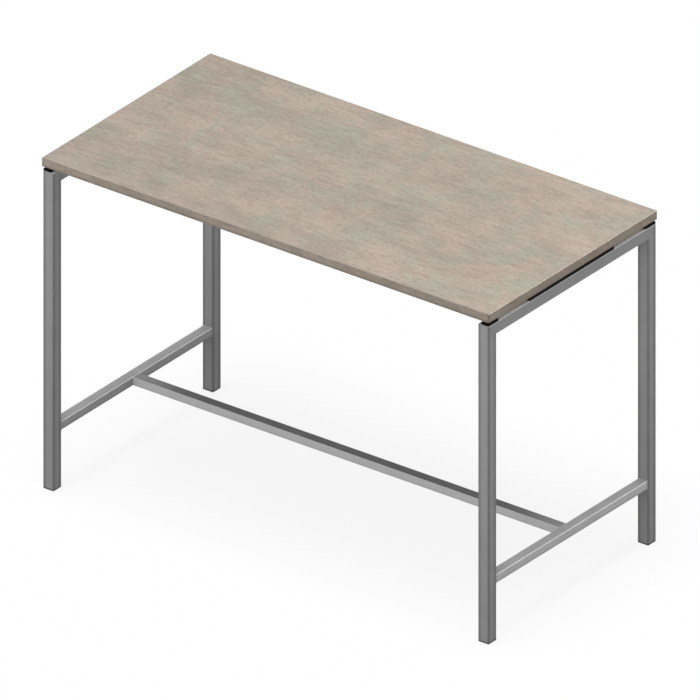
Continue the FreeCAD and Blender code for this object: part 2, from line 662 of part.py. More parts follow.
# ---------------------------------------------------------------- the whole table
def make_table():
    """Every sub-part, in the order in which the table is put together."""
    for side_name, side in SIDES.items():
        for end_name, end in ENDS.items():
            corner = f"{end_name}_{side_name}"
            make_leg(f"leg_{corner}", side, end)
            make_foot_plug(f"foot_plug_{corner}", side, end)
            make_foot_nut(f"foot_nut_{corner}", side, end)
            make_glide(f"glide_{corner}", side, end)
            make_stem(f"stem_{corner}", side, end)
            make_corner_spacer(f"corner_spacer_{corner}", side, end)
            make_beam_socket(f"beam_socket_{corner}", side, end)
        make_top_rail(f"top_rail_{side_name}", side)
        make_lower_rail(f"lower_rail_{side_name}", side)
        make_stretcher_socket(f"stretcher_socket_{side_name}", side)
        make_spacer_strip(f"spacer_strip_{side_name}", side)
        make_short_band(f"edge_band_{side_name}", side)
    for end_name, end in ENDS.items():
        make_beam(f"beam_{end_name}", end)
        make_long_band(f"edge_band_{end_name}", end)
    make_stretcher()
    make_lock_screws()
    make_board()
    make_top_fixings()


def check():
    """Stop if any object failed or any sub-part has no valid shape."""
    for thing in doc.Objects:
        if {"Invalid", "Error"} & set(thing.State):
            raise RuntimeError(f"{thing.Name} failed: {thing.State}")
    for thing in nodes:
        shape = thing.Shape
        if shape.isNull() or not shape.isValid() or not shape.Solids:
            raise RuntimeError(f"{thing.Label} has no valid solid")


def write():
    """One STEP file for each sub-part."""
    os.makedirs("parts", exist_ok=True)
    for thing in nodes:
        thing.Shape.exportStep(f"parts/{thing.Label}.step")


sheet = make_sheet()
make_table()
doc.recompute()
check()
write()
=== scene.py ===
"""Standing meeting table: looks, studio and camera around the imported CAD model.

The CAD nodes stay where they are. Small turned and threaded parts are rebuilt here with
finer shapes, weld beads are added, and every piece gets a procedural finish.
"""

import logging
import math
from dataclasses import dataclass
from enum import Enum
from functools import cache

import bmesh
import bpy
from mathutils import Matrix, Vector


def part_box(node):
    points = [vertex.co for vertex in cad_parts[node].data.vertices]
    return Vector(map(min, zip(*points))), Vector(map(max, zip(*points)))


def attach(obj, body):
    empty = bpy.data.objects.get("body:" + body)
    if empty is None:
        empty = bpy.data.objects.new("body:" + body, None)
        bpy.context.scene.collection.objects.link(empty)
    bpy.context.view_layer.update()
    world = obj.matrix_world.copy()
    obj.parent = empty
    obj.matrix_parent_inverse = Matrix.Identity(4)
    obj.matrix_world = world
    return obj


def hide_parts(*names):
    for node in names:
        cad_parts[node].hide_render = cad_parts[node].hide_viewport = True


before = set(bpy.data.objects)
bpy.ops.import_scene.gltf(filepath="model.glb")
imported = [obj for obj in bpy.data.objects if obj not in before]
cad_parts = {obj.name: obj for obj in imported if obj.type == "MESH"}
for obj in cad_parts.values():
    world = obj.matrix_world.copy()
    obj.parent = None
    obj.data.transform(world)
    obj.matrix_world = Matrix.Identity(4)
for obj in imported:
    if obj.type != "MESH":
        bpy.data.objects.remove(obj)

LOG = logging.getLogger("standing_table")
SMOOTH_BELOW = math.radians(32)
MM = 0.001
WHITE = (1.0, 1.0, 1.0, 1.0)
CHAMFER = 0.5 * MM
ROUND_STEPS = 28
# Points that are closer than this are taken as one.
MERGE = 1e-6
# Sockets of the Mix node that carry colours.
MIX_FIRST, MIX_SECOND, MIX_RESULT = 6, 7, 2
# Largest part of the normal on a rounded corner and on a flat face.
ROUND_TO_FLAT = (0.90, 0.995)
# The part of its range that noise mostly fills.
MOST_NOISE = (0.3, 0.7)
# Points of a thread: shares of its depth below the crest and of its pitch.
THREAD_FORM = ((1.0, 0.0), (0.0, 0.40), (0.0, 0.55), (1.0, 0.95), (1.0, 1.0))
# Turns of a thread below its lower end, which is then cut square.
LEAD_IN = 2

Colour = tuple[float, float, float]
Triple = tuple[float, float, float]
Span = tuple[float, float]


# ---------------- named options
class Corner(Enum):
    """The four legs: name of the corner and its signs along X and Y."""

    FRONT_LEFT = ("front_left", -1, -1)
    REAR_LEFT = ("rear_left", -1, 1)
    FRONT_RIGHT = ("front_right", 1, -1)
    REAR_RIGHT = ("rear_right", 1, 1)

    @property
    def label(self) -> str:
        """Name as the nodes use it."""
        return self.value[0]

    @property
    def x_way(self) -> int:
        """Sign of the corner along X."""
        return self.value[1]

    @property
    def y_way(self) -> int:
        """Sign of the corner along Y."""
        return self.value[2]


class Side(Enum):
    """The two end frames."""

    LEFT = ("left", -1)
    RIGHT = ("right", 1)

    @property
    def label(self) -> str:
        """Name as the nodes use it."""
        return self.value[0]

    @property
    def way(self) -> int:
        """Sign of the side along X."""
        return self.value[1]


class Slot(Enum):
    """Material slots of the record."""

    BOARD = "board_decor"
    EDGE = "edge_decor"
    FRAME = "frame_paint"
    BEAM = "beam_paint"
    SPACER = "spacer_black"
    PLUG = "foot_plug_black"
    GLIDE = "glide_black"
    ZINC = "zinc_steel"
    SCREW = "black_screws"
    STEEL = "bare_steel"


# ---------------- node graph
class Graph:
    """Short way to lay out one material's nodes."""

    def __init__(self, name: str) -> None:
        """Start a material with a Principled shader and its output.

        Args:
            name: Name of the material.
        """
        self.material = bpy.data.materials.new(name)
        self.material.use_nodes = True
        self.nodes = self.material.node_tree.nodes
        self.links = self.material.node_tree.links
        self.nodes.clear()
        self.shader = self.add("ShaderNodeBsdfPrincipled")
        output = self.add("ShaderNodeOutputMaterial")
        self.links.new(self.shader.outputs["BSDF"], output.inputs["Surface"])
        texture = self.add("ShaderNodeTexCoord")
        self.place = texture.outputs["Object"]
        self.normal = texture.outputs["Normal"]

    def add(self, kind: str, **settings: object) -> bpy.types.Node:
        """Add a node and set its properties.

        Args:
            kind: Node type.
            settings: Properties of the node, by name.

        Returns:
            The new node.
        """
        node = self.nodes.new(kind)
        for name, value in settings.items():
            setattr(node, name, value)
        return node

    def feed(self, socket: bpy.types.NodeSocket, value: object) -> None:
        """Link a socket to another, or set its value.

        Args:
            socket: Input to fill.
            value: An output socket, a number, or a colour.
        """
        if isinstance(value, bpy.types.NodeSocket):
            self.links.new(value, socket)
        elif isinstance(value, tuple):
            socket.default_value = (*value, 1.0)
        else:
            socket.default_value = value

    def stretched(self, scale: Triple, offset: Triple = (0.0, 0.0, 0.0)) -> bpy.types.NodeSocket:
        """Object coordinates, scaled along each axis.

        Args:
            scale: Scale along X, Y and Z.
            offset: Shift added after the scale.

        Returns:
            The mapped coordinates.
        """
        mapping = self.add("ShaderNodeMapping")
        self.feed(mapping.inputs["Vector"], self.place)
        mapping.inputs["Scale"].default_value = scale
        mapping.inputs["Location"].default_value = offset
        return mapping.outputs["Vector"]

    def noise(self, where: bpy.types.NodeSocket, scale: float, detail: float, roughness: float,
              distortion: float = 0.0) -> bpy.types.NodeSocket:
        """Noise from 0 to 1.

        Args:
            where: Coordinates.
            scale: Features per metre of those coordinates.
            detail: Octaves.
            roughness: Weight of the finer octaves.
            distortion: How far the pattern is pulled about.

        Returns:
            The noise factor.
        """
        node = self.add("ShaderNodeTexNoise")
        self.feed(node.inputs["Vector"], where)
        node.inputs["Scale"].default_value = scale
        node.inputs["Detail"].default_value = detail
        node.inputs["Roughness"].default_value = roughness
        node.inputs["Distortion"].default_value = distortion
        return node.outputs["Fac"]

    def math(self, kind: str, first: object, second: object = 0.0,
             third: object = 0.0) -> bpy.types.NodeSocket:
        """One step of arithmetic.

        Args:
            kind: Operation of the Math node.
            first: First number or socket.
            second: Second number or socket.
            third: Third number or socket.

        Returns:
            The result.
        """
        node = self.add("ShaderNodeMath", operation=kind)
        for socket, value in zip(node.inputs, (first, second, third)):
            self.feed(socket, value)
        return node.outputs[0]

    def spread(self, value: object, low: float, high: float, to_low: float = 0.0,
               to_high: float = 1.0, smooth: bool = True) -> bpy.types.NodeSocket:
        """Map a range onto another, clamped.

        Args:
            value: Number to map.
            low: Value that becomes to_low.
            high: Value that becomes to_high.
            to_low: Result at low.
            to_high: Result at high.
            smooth: Ease in and out.

        Returns:
            The mapped number.
        """
        node = self.add("ShaderNodeMapRange", interpolation_type="SMOOTHSTEP" if smooth else "LINEAR")
        self.feed(node.inputs["Value"], value)
        for name, number in (("From Min", low), ("From Max", high), ("To Min", to_low), ("To Max", to_high)):
            node.inputs[name].default_value = number
        return node.outputs["Result"]

    def product(self, *factors: object) -> bpy.types.NodeSocket:
        """Multiply any number of numbers or sockets.

        Args:
            factors: Two or more of them.

        Returns:
            Their product.
        """
        result = factors[0]
        for factor in factors[1:]:
            result = self.math("MULTIPLY", result, factor)
        return result

    def mix(self, factor: object, first: object, second: object) -> bpy.types.NodeSocket:
        """Mix two colours.

        Args:
            factor: 0 for the first, 1 for the second.
            first: First colour or socket.
            second: Second colour or socket.

        Returns:
            The mixed colour.
        """
        node = self.add("ShaderNodeMix", data_type="RGBA")
        self.feed(node.inputs["Factor"], factor)
        self.feed(node.inputs[MIX_FIRST], first)
        self.feed(node.inputs[MIX_SECOND], second)
        return node.outputs[MIX_RESULT]

    def split(self, vector: bpy.types.NodeSocket) -> list[bpy.types.NodeSocket]:
        """Split a vector into its three numbers.

        Args:
            vector: Vector to split.

        Returns:
            Its parts along X, Y and Z.
        """
        node = self.add("ShaderNodeSeparateXYZ")
        self.feed(node.inputs[0], vector)
        return list(node.outputs)

    def axes(self) -> list[bpy.types.NodeSocket]:
        """Object coordinates as three numbers."""
        return self.split(self.place)

    def scaled(self, tone: bpy.types.NodeSocket, share: bpy.types.NodeSocket) -> bpy.types.NodeSocket:
        """Scale a colour by one number.

        Args:
            tone: Colour to scale.
            share: Number that scales it.

        Returns:
            The scaled colour.
        """
        node = self.add("ShaderNodeVectorMath", operation="SCALE")
        self.feed(node.inputs[0], tone)
        self.feed(node.inputs["Scale"], share)
        return node.outputs[0]

    def on_corners(self, share: float) -> bpy.types.NodeSocket:
        """Share on rounded corners, where the surface faces between two axes, and 1 on flats, to paint
        highlight or shade onto the corners.

        Args:
            share: Number on the corners.

        Returns:
            The number over the surface.
        """
        sizes = [self.math("ABSOLUTE", value) for value in self.split(self.normal)]
        flat = self.math("MAXIMUM", self.math("MAXIMUM", sizes[0], sizes[1]), sizes[2])
        return self.spread(flat, *ROUND_TO_FLAT, share, 1.0)

    def bump(self, height: object, depth: float, strength: float) -> None:
        """Give the shader a bumpy normal.

        Args:
            height: Height from 0 to 1.
            depth: Depth of that height in metres.
            strength: Strength of the effect.
        """
        node = self.add("ShaderNodeBump")
        node.inputs["Strength"].default_value = strength
        node.inputs["Distance"].default_value = depth
        self.feed(node.inputs["Height"], height)
        self.feed(self.shader.inputs["Normal"], node.outputs["Normal"])

    def finish(self, colour: object, roughness: object, **constants: float) -> bpy.types.Material:
        """Fill the shader's main inputs.

        Args:
            colour: Base colour.
            roughness: Roughness.
            constants: Numbers for other shader inputs, spaces in their names as underscores.

        Returns:
            The finished material.
        """
        self.feed(self.shader.inputs["Base Color"], colour)
        self.feed(self.shader.inputs["Roughness"], roughness)
        for name, value in constants.items():
            self.shader.inputs[name.replace("_", " ")].default_value = value
        return self.material


# ---------------- finishes
def toned(colour: Colour, share: float) -> Colour:
    """A colour scaled to a share of itself, at most white."""
    return tuple(min(1.0, channel * share) for channel in colour)


@dataclass(frozen=True)
class Layer:
    """One layer of noise in a finish: its form, and how it tints the tone under it.

    It starts to tint where the noise is at low and is full at high. Its tint is a share of
    the main tone, and amount is how much of that is mixed in where it is full.
    """

    detail: float
    roughness: float
    low: float = MOST_NOISE[0]
    high: float = MOST_NOISE[1]
    amount: float = 1.0
    tint: float = 1.0
    scale: float = 1.0
    distortion: float = 0.0
    offset: Triple = (0.0, 0.0, 0.0)

    def noise(self, graph: Graph, stretch: Triple = (1.0, 1.0, 1.0)) -> bpy.types.NodeSocket:
        """The layer's noise on Object coordinates.

        Args:
            graph: Graph of the material.
            stretch: Scale along X, Y and Z.

        Returns:
            Noise from 0 to 1.
        """
        where = graph.stretched(stretch, self.offset)
        return graph.noise(where, self.scale, self.detail, self.roughness, self.distortion)

    def mask(self, graph: Graph, noise: bpy.types.NodeSocket) -> bpy.types.NodeSocket:
        """How much of the tint shows, from 0 to its amount."""
        return graph.spread(noise, self.low, self.high, 0.0, self.amount)


# In order: detail, roughness, low, high, amount and tint.
# Laminate, from the broadest layer to the finest.
BROAD = Layer(2.0, 0.5, 0.34, 0.66, offset=(1.7, 6.1, 3.3))
PATCHES = Layer(5.0, 0.62, 0.385, 0.61, distortion=0.35)
CLOUDS = Layer(3.0, 0.6, 0.38, 0.68, 0.35, 0.62, distortion=0.3, offset=(8.3, 1.9, 2.2))
MOTTLE = Layer(3.0, 0.6, 0.42, 0.70, 0.25, 0.60, offset=(3.1, 7.7, 0.4))
STREAKS = Layer(3.0, 0.55, 0.46, 0.70, 0.31, 0.55)
SPECKLE = Layer(1.0, 0.5, 0.48, 0.68, 0.31, 0.52)
GLINTS = Layer(1.0, 0.5, 0.56, 0.72, 0.12, 1.45, scale=1.5, offset=(5.0, 2.0, 9.0))
# Powder coat.
COAT_GRAIN = Layer(1.0, 0.5, 0.35, 0.65, scale=1400.0)
COAT_CLOUD = Layer(3.0, 0.5, 0.4, 0.7, 0.30, 0.86, scale=14.0)
COAT_PEEL = Layer(2.0, 0.5, scale=700.0)
# Moulded plastic and plated steel.
MOULD_CLOUD = Layer(3.0, 0.6, 0.35, 0.75, tint=1.6, scale=60.0)
STEEL_MARKS = Layer(3.0, 0.6, scale=260.0)
STEEL_STAIN = Layer(3.0, 0.6, 0.4, 0.75, 0.7, 0.72, scale=180.0)


@dataclass(frozen=True)
class StoneLaminate:
    """Matt laminate with a cement look: soft warm and cool patches, streaks and fine speckle.

    broad to speckle are the scales of its layers along X, Y and Z. The shares paint light and shade into the
    tone: a painted highlight on the upper arris, painted shade at the vertical corners and low on the edges,
    and painted light that changes from left to right.
    """

    name: str
    warm: Colour
    cool: Colour
    broad: Triple = (2.2, 4.6, 4.6)
    patch: Triple = (8.0, 6.8, 6.8)
    cloud: Triple = (7.4, 16.0, 16.0)
    mottle: Triple = (20.0, 60.0, 60.0)
    streak: Triple = (9.0, 160.0, 160.0)
    speckle: Triple = (66.0, 100.0, 100.0)
    # Painted light and shade: highlight on the upper arris, shade at the vertical corners and low on the
    # edges, light that changes from left to right.
    arris_highlight: float = 1.0
    corner_shade: float = 1.0
    low_edge_shade: float = 1.0
    low_span: Span = (1.042, 1.050)
    painted_light_along: Span = (0.925, 1.04)
    broad_shares: Span = (0.955, 1.03)
    half_length: float = 0.8
    seam_at: Span = (0.798, 0.398)
    corner_shade_span: Span = (5.5 * MM, 1.0 * MM)
    hairline: Span = (0.06 * MM, 0.18 * MM)
    hairline_amount: float = 0.8
    hairline_tint: float = 0.25
    faces_up: Span = (0.05, 0.25)
    faces_down: Span = (-0.90, -0.98)
    backing: Colour = (0.62, 0.58, 0.52)
    roughness: Span = (0.52, 0.64)
    pore_weights: Span = (0.6, 0.4)
    pore_depth: float = 0.12 * MM
    pore_strength: float = 0.5
    gloss: float = 0.30

    @cache
    def make(self) -> bpy.types.Material:
        """Build the material at its first use.

        Returns:
            The finished material.
        """
        graph = Graph(self.name)
        tone = graph.mix(PATCHES.mask(graph, PATCHES.noise(graph, self.patch)), self.cool, self.warm)
        noises = {}
        for layer, stretch in ((CLOUDS, self.cloud), (MOTTLE, self.mottle), (STREAKS, self.streak),
                               (SPECKLE, self.speckle), (GLINTS, self.speckle)):
            noises[layer] = layer.noise(graph, stretch)
            tone = graph.mix(layer.mask(graph, noises[layer]), tone, toned(self.warm, layer.tint))
        tone = graph.mix(self.seam(graph), tone, toned(self.warm, self.hairline_tint))
        # Painted light and shade over the decor's tone.
        tone = graph.scaled(tone, self.shares(graph))
        underside = graph.spread(graph.split(graph.normal)[2], *self.faces_down)
        tone = graph.mix(underside, tone, self.backing)
        rough = graph.spread(noises[MOTTLE], *MOST_NOISE, *self.roughness)
        pores = [graph.math("MULTIPLY", noises[layer], weight)
                 for layer, weight in zip((SPECKLE, STREAKS), self.pore_weights)]
        graph.bump(graph.math("ADD", *pores), self.pore_depth, self.pore_strength)
        return graph.finish(tone, rough, Specular_IOR_Level=self.gloss)

    def shares(self, graph: Graph) -> bpy.types.NodeSocket:
        """Painted light and shade: a tone share by the place and by the way that the surface faces.

        Args:
            graph: Graph of the material.

        Returns:
            The product of the shares.
        """
        x_at, _, height = graph.axes()
        # Painted light that changes from left to right.
        along = graph.spread(x_at, -self.half_length, self.half_length, *self.painted_light_along, smooth=False)
        broad = graph.spread(BROAD.noise(graph, self.broad), BROAD.low, BROAD.high, *self.broad_shares)
        upward = graph.spread(graph.split(graph.normal)[2], *self.faces_up)
        # Painted highlight on the upper arris.
        gain = graph.math("ADD", graph.on_corners(self.arris_highlight), -1.0)
        arris = graph.math("MULTIPLY_ADD", upward, gain, 1.0)
        # Painted shade low on the edges.
        low = graph.spread(height, *self.low_span, self.low_edge_shade, 1.0)
        return graph.product(along, broad, arris, self.corner(graph), low)

    def corner(self, graph: Graph) -> bpy.types.NodeSocket:
        """Painted shade on the vertical corners: a tone share that darkens the last few millimetres before
        them.

        Args:
            graph: Graph of the material.

        Returns:
            The share over the surface.
        """
        start, end = self.corner_shade_span
        near = [graph.spread(graph.math("ABSOLUTE", value), seam - start, seam - end)
                for value, seam in zip(graph.axes(), self.seam_at)]
        return graph.spread(graph.product(*near), 0.0, 1.0, 1.0, self.corner_shade)

    def seam(self, graph: Graph) -> bpy.types.NodeSocket:
        """Hairline between the board and its edge bands.

        Args:
            graph: Graph of the material.

        Returns:
            How dark the line is, and 0 elsewhere.
        """
        near = [graph.math("ABSOLUTE", graph.math("SUBTRACT", graph.math("ABSOLUTE", value), seam))
                for value, seam in zip(graph.axes(), self.seam_at)]
        return graph.spread(graph.math("MINIMUM", *near), *self.hairline, self.hairline_amount, 0.0)


@dataclass(frozen=True)
class PowderCoat:
    """Grey powder coat with a fine metallic grain, and light and shade painted into its tone on some faces.

    The shares scale the tone as painted light and shade: a painted highlight or shade on the tubes' rounded
    corners, painted light or shade on faces that look up, painted shade towards the floor, on faces that
    look towards the middle of the table, on faces that look down, beside the upright corners of the legs,
    and low on the sides of the lower bars. top_ends is the painted light that the tops gain towards the ends
    of the long bar.
    """

    name: str
    base: Colour
    # Shares of painted light and shade; 1 leaves the tone as it is.
    on_corners: float = 1.0
    top_light_share: float = 1.0
    near_floor_shade: float = 1.0
    inward_shade: float = 1.0
    under: float = 1.0
    beside_corner_shade: float = 1.0
    low_side_shade: float = 1.0
    top_ends: float = 0.0
    top_from: float = 0.86
    top_ease: float = 0.11
    under_span: Span = (-0.45, -0.12)
    inward_span: Span = (0.75, 0.95)
    # Height up to which painted shade darkens the coat towards the floor.
    floor_shade_height: float = 0.95
    low_span: Span = (0.186, 0.192)
    ends_span: Span = (0.525, 0.715)
    leg_at: Span = (0.779, 0.379)
    strips: tuple[Span, Span] = ((12.5 * MM, 16.0 * MM), (8.5 * MM, 12.5 * MM))
    wide_by: float = 5.0 * MM
    grain_shares: Span = (0.90, 1.10)
    peel_depth: float = 0.06 * MM
    bump: float = 0.35
    metallic: float = 0.05
    roughness: Span = (0.46, 0.54)
    gloss: float = 0.28

    @cache
    def make(self) -> bpy.types.Material:
        """Build the material at its first use.

        Returns:
            The finished material.
        """
        graph = Graph(self.name)
        grain, cloud, peel = (layer.noise(graph) for layer in (COAT_GRAIN, COAT_CLOUD, COAT_PEEL))
        darker, lighter = (toned(self.base, share) for share in self.grain_shares)
        tone = graph.mix(COAT_GRAIN.mask(graph, grain), darker, lighter)
        tone = graph.mix(COAT_CLOUD.mask(graph, cloud), tone, toned(self.base, COAT_CLOUD.tint))
        # Painted light and shade over the coat's tone.
        tone = graph.scaled(tone, self.facing(graph))
        graph.bump(peel, self.peel_depth, self.bump)
        rough = graph.spread(cloud, *MOST_NOISE, *self.roughness)
        return graph.finish(tone, rough, Metallic=self.metallic, Specular_IOR_Level=self.gloss)

    def facing(self, graph: Graph) -> bpy.types.NodeSocket:
        """Painted light and shade: a tone share by the way that the surface faces and by its place.

        Args:
            graph: Graph of the material.

        Returns:
            The product of the shares.
        """
        across, _, up = graph.split(graph.normal)
        x_at, _, height = graph.axes()
        top_span = (self.top_from, self.top_from + self.top_ease)
        inward = graph.product(across, graph.math("MULTIPLY", x_at, -1.0 / self.leg_at[0]))
        outward = graph.spread(graph.math("ABSOLUTE", x_at), *self.ends_span, 0.0, self.top_ends)
        # Painted highlight or shade on corners, painted light or shade on tops, painted shade towards the
        # floor, on downward faces, beside the legs' corners, low on the bars' sides and on inward faces, and
        # painted light towards the long bar's ends.
        return graph.product(
            graph.on_corners(self.on_corners),
            graph.spread(up, *top_span, 1.0, self.top_light_share),
            graph.spread(height, 0.0, self.floor_shade_height, self.near_floor_shade, 1.0),
            graph.spread(up, *self.under_span, self.under, 1.0),
            self.painted_corner_shade(graph),
            graph.spread(height, *self.low_span, self.low_side_shade, 1.0),
            graph.spread(inward, *self.inward_span, 1.0, self.inward_shade),
            graph.math("MULTIPLY_ADD", outward, graph.spread(up, *top_span), 1.0))

    def painted_corner_shade(self, graph: Graph) -> bpy.types.NodeSocket:
        """Painted shade: a tone share by the distance to a leg's upright corners, darker beside them.

        The strips are wider at the two corners of each leg that face front left and rear right.

        Args:
            graph: Graph of the material.

        Returns:
            The share over the surface.
        """
        places = graph.axes()[:2]
        offsets = [graph.math("SUBTRACT", graph.math("ABSOLUTE", value), axis)
                   for value, axis in zip(places, self.leg_at)]
        sides = graph.product(graph.product(*places), graph.product(*offsets))
        wider = graph.product(graph.math("GREATER_THAN", sides, 0.0), self.wide_by)
        near = [graph.spread(graph.math("ADD", graph.math("ABSOLUTE", offset), wider), *strip)
                for offset, strip in zip(offsets, self.strips)]
        return graph.spread(graph.product(*near), 0.0, 1.0, 1.0, self.beside_corner_shade)


@dataclass(frozen=True)
class MouldedBlack:
    """Black plastic or rubber from a mould, with a fine spark-eroded grain."""

    name: str
    base: Colour
    roughness: Span
    grain: float = 1500.0
    gloss: float = 0.35
    grain_detail: float = 2.0
    grain_weight: float = 0.6
    bump_depth: float = 0.06 * MM
    bump_strength: float = 0.6

    @cache
    def make(self) -> bpy.types.Material:
        """Build the material at its first use.

        Returns:
            The finished material.
        """
        graph = Graph(self.name)
        grain = graph.noise(graph.place, self.grain, self.grain_detail, self.grain_weight)
        cloud = MOULD_CLOUD.mask(graph, MOULD_CLOUD.noise(graph))
        tone = graph.mix(cloud, self.base, toned(self.base, MOULD_CLOUD.tint))
        rough = graph.spread(grain, *MOST_NOISE, *self.roughness)
        graph.bump(grain, self.bump_depth, self.bump_strength)
        return graph.finish(tone, rough, Specular_IOR_Level=self.gloss)


@dataclass(frozen=True)
class PlatedSteel:
    """Plated or plain steel with faint turning marks."""

    name: str
    base: Colour
    roughness: Span
    marks: Triple = (1.0, 1.0, 14.0)
    bump_depth: float = 0.03 * MM
    bump_strength: float = 0.4

    @cache
    def make(self) -> bpy.types.Material:
        """Build the material at its first use.

        Returns:
            The finished material.
        """
        graph = Graph(self.name)
        marks = STEEL_MARKS.noise(graph, self.marks)
        stain = STEEL_STAIN.mask(graph, STEEL_STAIN.noise(graph))
        tone = graph.mix(stain, self.base, toned(self.base, STEEL_STAIN.tint))
        rough = graph.spread(marks, *MOST_NOISE, *self.roughness)
        graph.bump(marks, self.bump_depth, self.bump_strength)
        return graph.finish(tone, rough, Metallic=1.0)


# Scales of the layers on the edge bands.
BAND_SCALES = {"broad": (2.2, 2.2, 4.6), "patch": (6.0, 6.0, 16.0), "cloud": (12.0, 12.0, 30.0),
               "mottle": (20.0, 20.0, 60.0), "streak": (26.0, 26.0, 330.0)}


@dataclass(frozen=True)
class Finishes:
    """Every finish of the table."""

    # Board: painted light that changes from left to right.
    board: StoneLaminate = StoneLaminate("stone_laminate", (0.523, 0.427, 0.355), (0.445, 0.424, 0.342))
    # Long bands: painted shade at the vertical corners and low on the bands, and painted light that changes
    # from left to right.
    edge: StoneLaminate = StoneLaminate(
        "stone_edge_band", (0.515, 0.432, 0.360), (0.478, 0.420, 0.338), **BAND_SCALES, corner_shade=0.70,
        low_edge_shade=0.72, low_span=(1.045, 1.053), painted_light_along=(1.12, 0.92))
    # End bands: a darker, shaded copy of the band decor, with a painted highlight on the upper arris and
    # painted shade low on the bands.
    end_band_painted_light: StoneLaminate = StoneLaminate(
        "stone_edge_band_ends_painted_light", (0.495, 0.418, 0.350), (0.462, 0.406, 0.328), **BAND_SCALES, arris_highlight=2.8,
        corner_shade=0.70, low_edge_shade=0.85)
    # One grey paint on the whole frame: these four lit and shaded copies differ in base and shares as
    # painted light and shade, with painted highlights or shade on corners and a painted shadow on the
    # stretcher's top.
    leg_paint: PowderCoat = PowderCoat(
        "grey_powder_coat_legs", (0.43, 0.43, 0.432), on_corners=0.82, near_floor_shade=0.80, beside_corner_shade=0.71)
    top_paint: PowderCoat = PowderCoat(
        "grey_powder_coat_top_rails", (0.41, 0.41, 0.412), on_corners=2.0, top_light_share=2.4, under=0.40)
    rail_paint: PowderCoat = PowderCoat(
        "grey_powder_coat_low_rails", (0.66, 0.66, 0.662), on_corners=1.50, top_light_share=0.65, inward_shade=0.70,
        under=0.62, low_side_shade=0.80)
    bar_paint: PowderCoat = PowderCoat(
        "grey_powder_coat_stretcher", (0.76, 0.76, 0.762), on_corners=1.15, top_light_share=0.21, under=0.80,
        top_from=0.55, low_side_shade=0.92, top_ends=0.85)
    weld_paint: PowderCoat = PowderCoat("grey_powder_coat_welds", (0.46, 0.46, 0.462), bump=0.8)
    beam_paint: PowderCoat = PowderCoat("grey_powder_coat_beams", (0.42, 0.42, 0.422))
    spacer: MouldedBlack = MouldedBlack("black_rubber", (0.004, 0.004, 0.004), (0.72, 0.88), gloss=0.12)
    plug: MouldedBlack = MouldedBlack("black_plug_plastic", (0.016, 0.016, 0.016), (0.42, 0.58))
    glide: MouldedBlack = MouldedBlack("black_glide_plastic", (0.020, 0.020, 0.020), (0.37, 0.53), 1100.0)
    zinc: PlatedSteel = PlatedSteel("zinc_plate", (0.62, 0.63, 0.65), (0.24, 0.42))
    screw: PlatedSteel = PlatedSteel("black_zinc_screw", (0.05, 0.05, 0.055), (0.32, 0.50))
    steel: PlatedSteel = PlatedSteel("plain_steel", (0.46, 0.46, 0.47), (0.37, 0.55))


# ---------------- bench tools
def linked(name: str, data: bpy.types.ID) -> bpy.types.Object:
    """Put a new object into the scene.

    Args:
        name: Name of the object.
        data: Its mesh, lamp or camera.

    Returns:
        The new object.
    """
    thing = bpy.data.objects.new(name, data)
    bpy.context.scene.collection.objects.link(thing)
    return thing


def mesh_from(name: str, shape: bmesh.types.BMesh) -> bpy.types.Mesh:
    """Turn a bmesh into a mesh and free it.

    Args:
        name: Name of the mesh.
        shape: The bmesh.

    Returns:
        The new mesh.
    """
    mesh = bpy.data.meshes.new(name)
    shape.to_mesh(mesh)
    shape.free()
    return mesh


def bench_piece(name: str, shape: bmesh.types.BMesh, body: str, slot: Slot,
                material: bpy.types.Material, *stands_for: str) -> None:
    """Turn a bmesh into a finished piece of the table.

    Args:
        name: Name of the piece.
        shape: Its bmesh, in the table's frame, in metres; it is freed here.
        body: CAD body that it rides on.
        slot: Material slot of the record; not used.
        material: Finish.
        stands_for: CAD nodes that it replaces.
    """
    bmesh.ops.remove_doubles(shape, verts=shape.verts, dist=MERGE)
    bmesh.ops.recalc_face_normals(shape, faces=shape.faces)
    for face in shape.faces:
        face.smooth = True
    for edge in shape.edges:
        edge.smooth = edge.calc_face_angle(math.pi) < SMOOTH_BELOW
    mesh = mesh_from(name, shape)
    mesh.materials.append(material)
    piece = linked(name, mesh)
    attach(piece, body)
    if stands_for:
        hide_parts(*stands_for)
    LOG.info("%s: %d faces on %s", name, len(mesh.polygons), body)


def dress(slot: Slot, material: bpy.types.Material, *nodes: str) -> None:
    """Give CAD nodes their finish.

    Args:
        slot: Material slot of the record; not used.
        material: Finish.
        nodes: Names of the CAD nodes.
    """
    for node in nodes:
        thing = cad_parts[node]
        thing.data.materials.clear()
        thing.data.materials.append(material)
        LOG.info("%s dressed in %s", node, material.name)


def middle(node: str) -> Vector:
    """Middle of a CAD node's box."""
    low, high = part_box(node)
    return (low + high) / 2


def spun(profile: list[tuple[float, float]], steps: int, turns: int = 1,
         rise: float = 0.0) -> bmesh.types.BMesh:
    """Spin a profile about Z.

    Args:
        profile: Radius and height of each point.
        steps: Facets in one turn.
        turns: Number of turns.
        rise: Climb of one turn.

    Returns:
        A bmesh on the Z axis, closed if the profile starts and ends on the axis.
    """
    shape = bmesh.new()
    points = [shape.verts.new((radius, 0.0, height)) for radius, height in profile]
    edges = [shape.edges.new(pair) for pair in zip(points, points[1:])]
    bmesh.ops.spin(shape, geom=points + edges, axis=(0, 0, 1), cent=(0, 0, 0), dvec=(0, 0, rise / steps),
                   angle=math.tau * turns, steps=steps * turns, use_merge=not rise)
    bmesh.ops.remove_doubles(shape, verts=shape.verts, dist=MERGE)
    return shape


def turned(profile: tuple[Span, ...], steps: int) -> bmesh.types.BMesh:
    """Solid of revolution about Z, from a profile in millimetres."""
    return spun([(radius * MM, height * MM) for radius, height in profile], steps)


